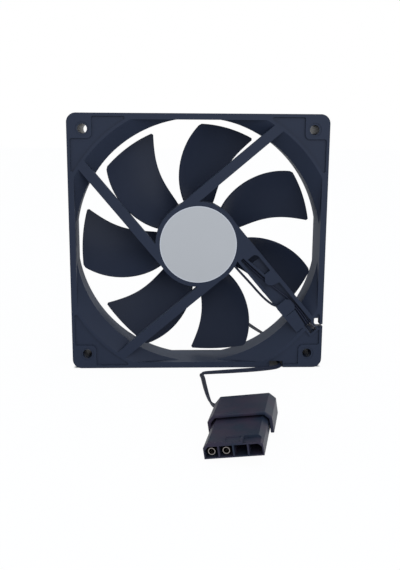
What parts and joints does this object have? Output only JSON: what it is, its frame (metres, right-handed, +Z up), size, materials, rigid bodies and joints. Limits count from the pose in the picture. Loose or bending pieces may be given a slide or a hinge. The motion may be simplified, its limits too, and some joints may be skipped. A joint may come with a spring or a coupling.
{
  "type": "axial cooling fan",
  "caption": "Square axial cooling fan for a case or server, with a swept-blade impeller on a sleeve bearing, a lead channel in one strut and a free lead to a power plug.",
  "frame": {"origin": "middle of the frame's lower edge: the fan stands on it, and the frame's depth is centred on the origin", "axes": "+Z up, Y along the fan's axis with the label side, where the air leaves, at -Y, +X to the right as seen from the label side"},
  "size_m": [0.119, 0.2112, 0.119],
  "materials": {
    "frame_plastic": "satin moulded black plastic with a blue cast",
    "impeller_plastic": "satin moulded black plastic",
    "label_foil": "plain grey label with a slight sheen",
    "tube_brass": "turned",
    "cap_plastic": "moulded",
    "washer_plastic": "smooth white plastic",
    "bearing_bronze": "sintered, oil-soaked",
    "seal_rubber": "matte",
    "core_steel": "stacked laminations",
    "insulator_plastic": "natural plastic",
    "winding_copper": "enamelled copper wire",
    "pin_metal": "tinned",
    "board_laminate": "green solder mask",
    "chip_plastic": "moulded",
    "capacitor_ceramic": "smooth",
    "wire_insulation": "satin black insulation",
    "connector_plastic": "satin moulded black plastic",
    "terminal_brass": "tin-tinted brass",
    "yoke_steel": "drawn and plated",
    "magnet_ferrite": "bonded ferrite",
    "shaft_steel": "ground",
    "clip_plastic": "white plastic"
  },
  "bodies": {
    "fan_frame": {"frame": "frame_plastic", "label": "label_foil", "bearing_tube": "tube_brass", "bearing_cap": "cap_plastic", "thrust_washer": "washer_plastic", "sleeve_bearing": "bearing_bronze", "oil_seal": "seal_rubber", "stator_core": "core_steel", "insulator_front": "insulator_plastic", "insulator_rear": "insulator_plastic", "winding_1": "winding_copper", "winding_2": "winding_copper", "winding_3": "winding_copper", "winding_4": "winding_copper", "winding_pins": "pin_metal", "circuit_board": "board_laminate", "hall_driver": "chip_plastic", "capacitor": "capacitor_ceramic", "held_wire": "wire_insulation", "slack_wire": "wire_insulation", "lead": "wire_insulation", "connector_plug": "connector_plastic", "connector_hood": "connector_plastic", "socket_terminals": "terminal_brass"},
    "rotor": {"impeller": "impeller_plastic", "rotor_yoke": "yoke_steel", "ring_magnet": "magnet_ferrite", "shaft": "shaft_steel", "retaining_clip": "clip_plastic"}
  },
  "joints": [
    {"name": "rotor_spin", "type": "hinge", "parent": "fan_frame", "child": "rotor", "pos_m": [0, 0, 0.0595], "axis": [0, 1, 0], "continuous": true}
  ]
}
